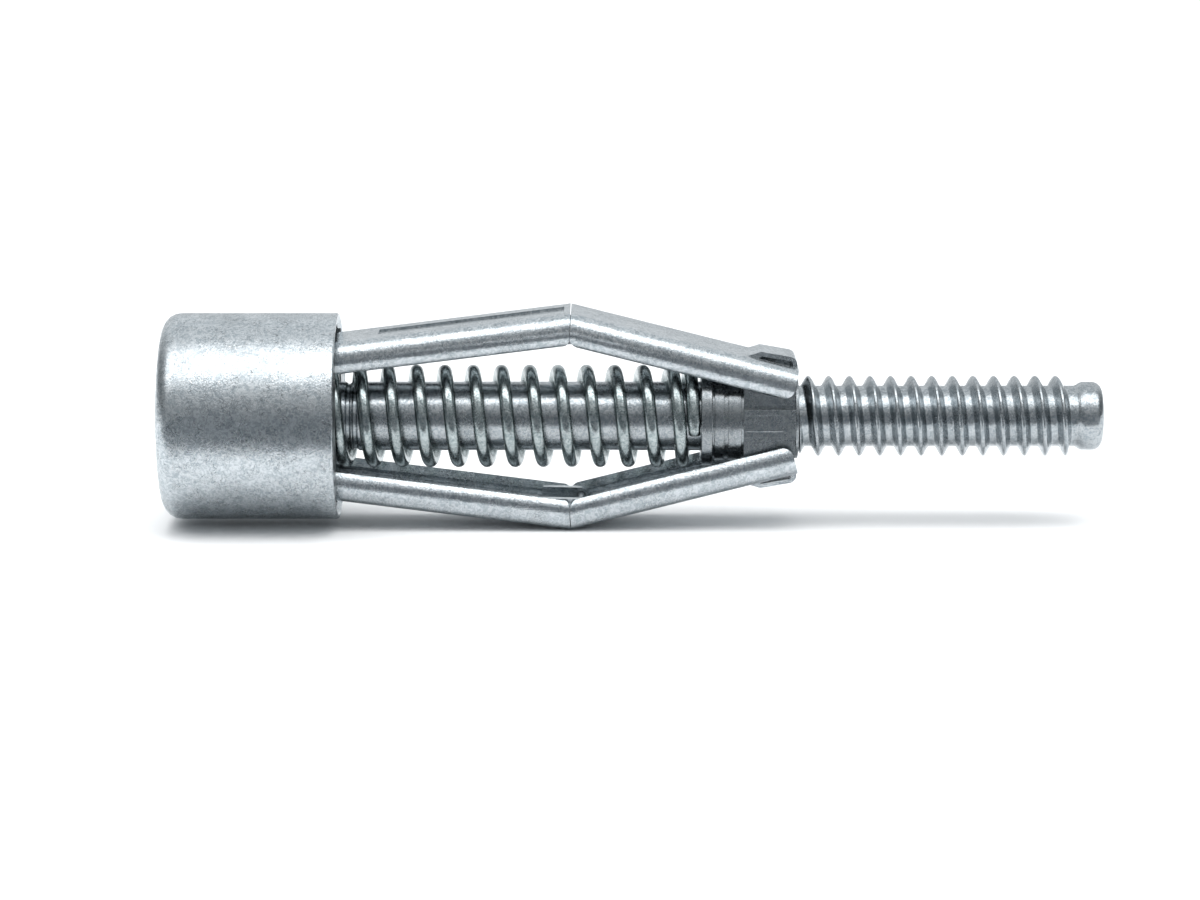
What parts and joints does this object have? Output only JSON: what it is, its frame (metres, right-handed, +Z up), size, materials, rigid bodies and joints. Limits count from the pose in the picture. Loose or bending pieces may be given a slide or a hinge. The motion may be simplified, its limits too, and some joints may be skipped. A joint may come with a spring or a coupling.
{
  "type": "spring toggle bolt",
  "caption": "Spring toggle bolt: threaded stud with a drawn end cap, compression spring and sliding collar whose folding channel arms spread at the knees behind a panel.",
  "frame": {"origin": "on the stud's axis at the collar's outer face, where the thread begins", "axes": "+X along the stud towards its threaded tip, +Z up, the arms spreading in the XZ plane"},
  "size_m": [0.07, 0.0154, 0.0162],
  "materials": {
    "cap_zinc": "bright zinc plate, drawn and lightly brushed round the cup",
    "stud_zinc": "bright zinc plate on a rolled thread",
    "inner_steel": "turned steel, thinly zinc plated",
    "spring_steel": "zinc plated spring wire",
    "collar_zinc": "turned and pressed, zinc plated",
    "arm_zinc": "rolled sheet, bright zinc plate",
    "pin_steel": "plated wire pins"
  },
  "bodies": {
    "screw": {"rod": "stud_zinc", "cap": "cap_zinc", "hinge_ring": "inner_steel", "rear_spring_washer": "inner_steel", "spring": "spring_steel"},
    "collar": {"collar": "collar_zinc", "front_spring_washer": "collar_zinc", "thrust_washer": "collar_zinc", "upper_collar_pins": "pin_steel", "lower_collar_pins": "pin_steel"},
    "upper_front": {"upper_front_link": "arm_zinc", "upper_knee_pin": "pin_steel"},
    "lower_front": {"lower_front_link": "arm_zinc", "lower_knee_pin": "pin_steel"},
    "upper_rear": {"upper_rear_link": "arm_zinc", "upper_rear_pin": "pin_steel"},
    "lower_rear": {"lower_rear_link": "arm_zinc", "lower_rear_pin": "pin_steel"}
  },
  "joints": [
    {"name": "collar_slide", "type": "slide", "parent": "screw", "child": "collar", "axis": [-1, 0, 0], "range_m": [0, 0.0052], "stiffness_N_per_m": 2500, "springref_m": -0.0005, "deforming": ["spring"]},
    {"name": "upper_front_hinge", "type": "hinge", "parent": "collar", "child": "upper_front", "pos_m": [-0.0011, 0, 0.00263], "axis": [0, 1, 0], "range_deg": [0, 27.3]},
    {"name": "lower_front_hinge", "type": "hinge", "parent": "collar", "child": "lower_front", "pos_m": [-0.0011, 0, -0.00263], "axis": [0, -1, 0], "range_deg": [0, 27.3]},
    {"name": "upper_knee_hinge", "type": "hinge", "parent": "upper_front", "child": "upper_rear", "pos_m": [-0.01616, 0, 0.00647], "axis": [0, -1, 0], "range_deg": [0, 47.63]},
    {"name": "lower_knee_hinge", "type": "hinge", "parent": "lower_front", "child": "lower_rear", "pos_m": [-0.01616, 0, -0.00647], "axis": [0, 1, 0], "range_deg": [0, 47.63]}
  ],
  "couplings": [
    {"joint": "upper_front_hinge", "follows": "collar_slide", "rad_per_m": 91.19},
    {"joint": "lower_front_hinge", "follows": "collar_slide", "rad_per_m": 91.19},
    {"joint": "upper_knee_hinge", "follows": "collar_slide", "rad_per_m": 159.46},
    {"joint": "lower_knee_hinge", "follows": "collar_slide", "rad_per_m": 159.46}
  ]
}
